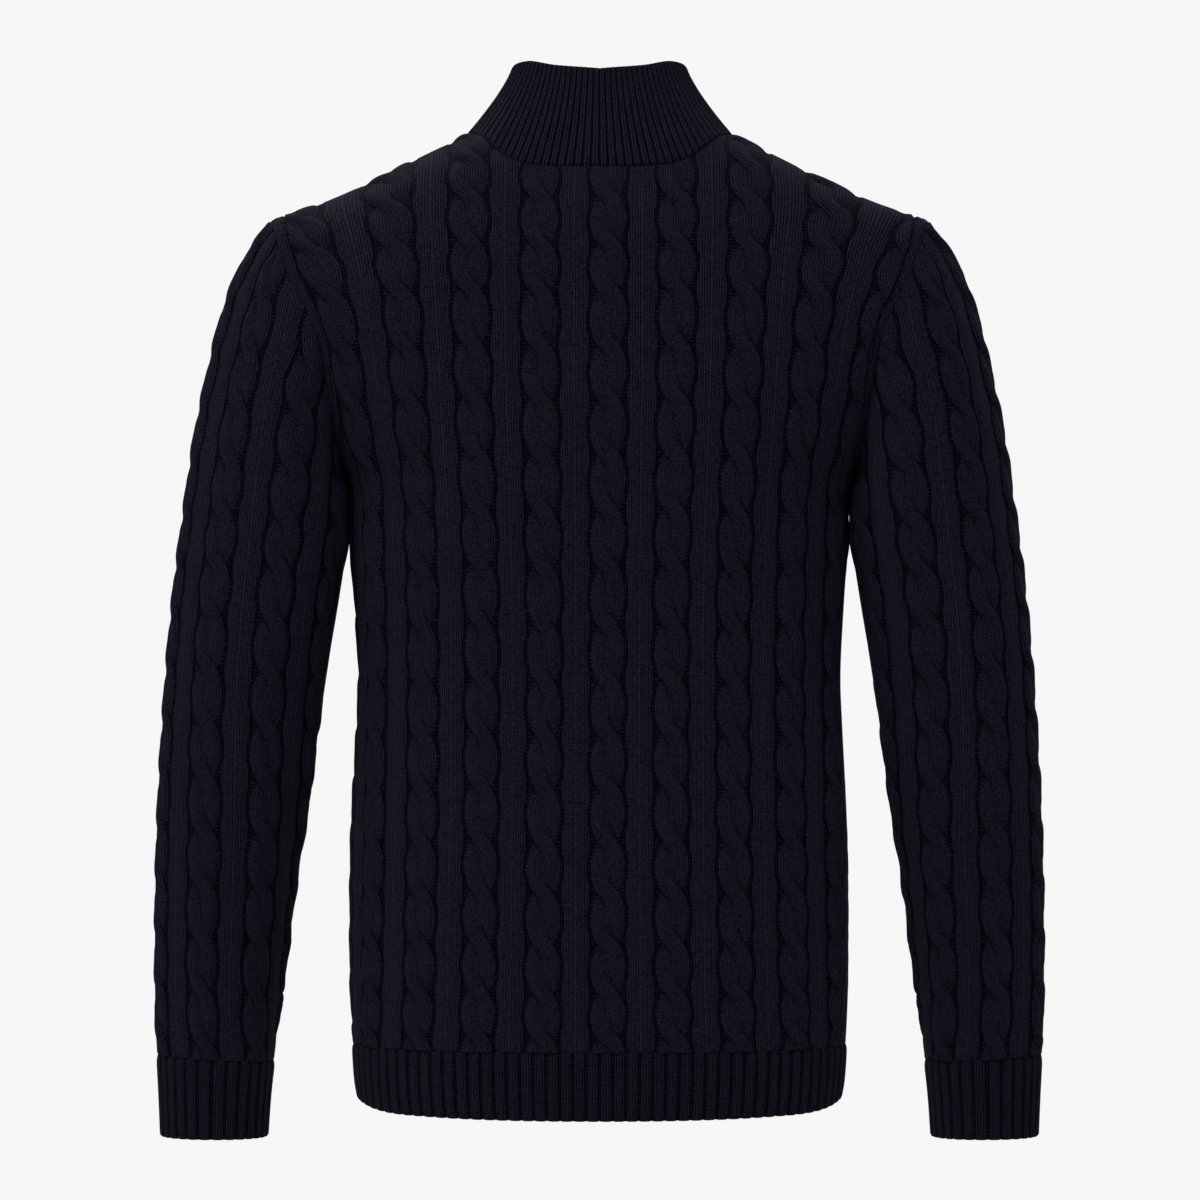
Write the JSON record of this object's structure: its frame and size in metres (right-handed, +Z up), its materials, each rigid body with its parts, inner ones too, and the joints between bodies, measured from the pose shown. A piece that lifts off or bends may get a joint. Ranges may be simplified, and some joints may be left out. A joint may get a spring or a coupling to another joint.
{
  "type": "cable knit zip sweater",
  "caption": "Worn, hollow pullover in dark cable knit with set-in sleeves, a ribbed stand collar, a short front zip, and ribbed cuffs and hem.",
  "frame": {"origin": "the middle of the neck at the height of the neck points, where the garment hangs on the wearer's shoulders", "axes": "+Z up, -Y the way the zip faces, +X the wearer's left"},
  "size_m": [0.6414, 0.2205, 0.768],
  "materials": {
    "cable_knit": "soft matt wool and cotton knit, navy, with a short nap",
    "rib_knit": "close matt rib knit, navy",
    "zip_tape": "woven navy tape with a matt coil",
    "zip_metal": "dark plated metal, satin"
  },
  "bodies": {
    "garment": {"back_panel": "cable_knit", "front_panel": "cable_knit", "sleeve_left": "cable_knit", "sleeve_right": "cable_knit", "cuff_left": "rib_knit", "cuff_right": "rib_knit", "hem_rib_back": "rib_knit", "hem_rib_front": "rib_knit", "collar": "rib_knit", "zip_tape_left": "zip_tape", "zip_tape_right": "zip_tape", "zip_slider": "zip_metal", "zip_top_stop_left": "zip_metal", "zip_top_stop_right": "zip_metal", "zip_bottom_stop": "zip_metal"},
    "pull_tab": {"zip_pull": "zip_metal"}
  },
  "joints": [
    {"name": "pull_swing", "type": "hinge", "parent": "garment", "child": "pull_tab", "pos_m": [0, -0.06741, -0.00913], "axis": [-1, 0, 0], "range_deg": [0, 150]}
  ]
}
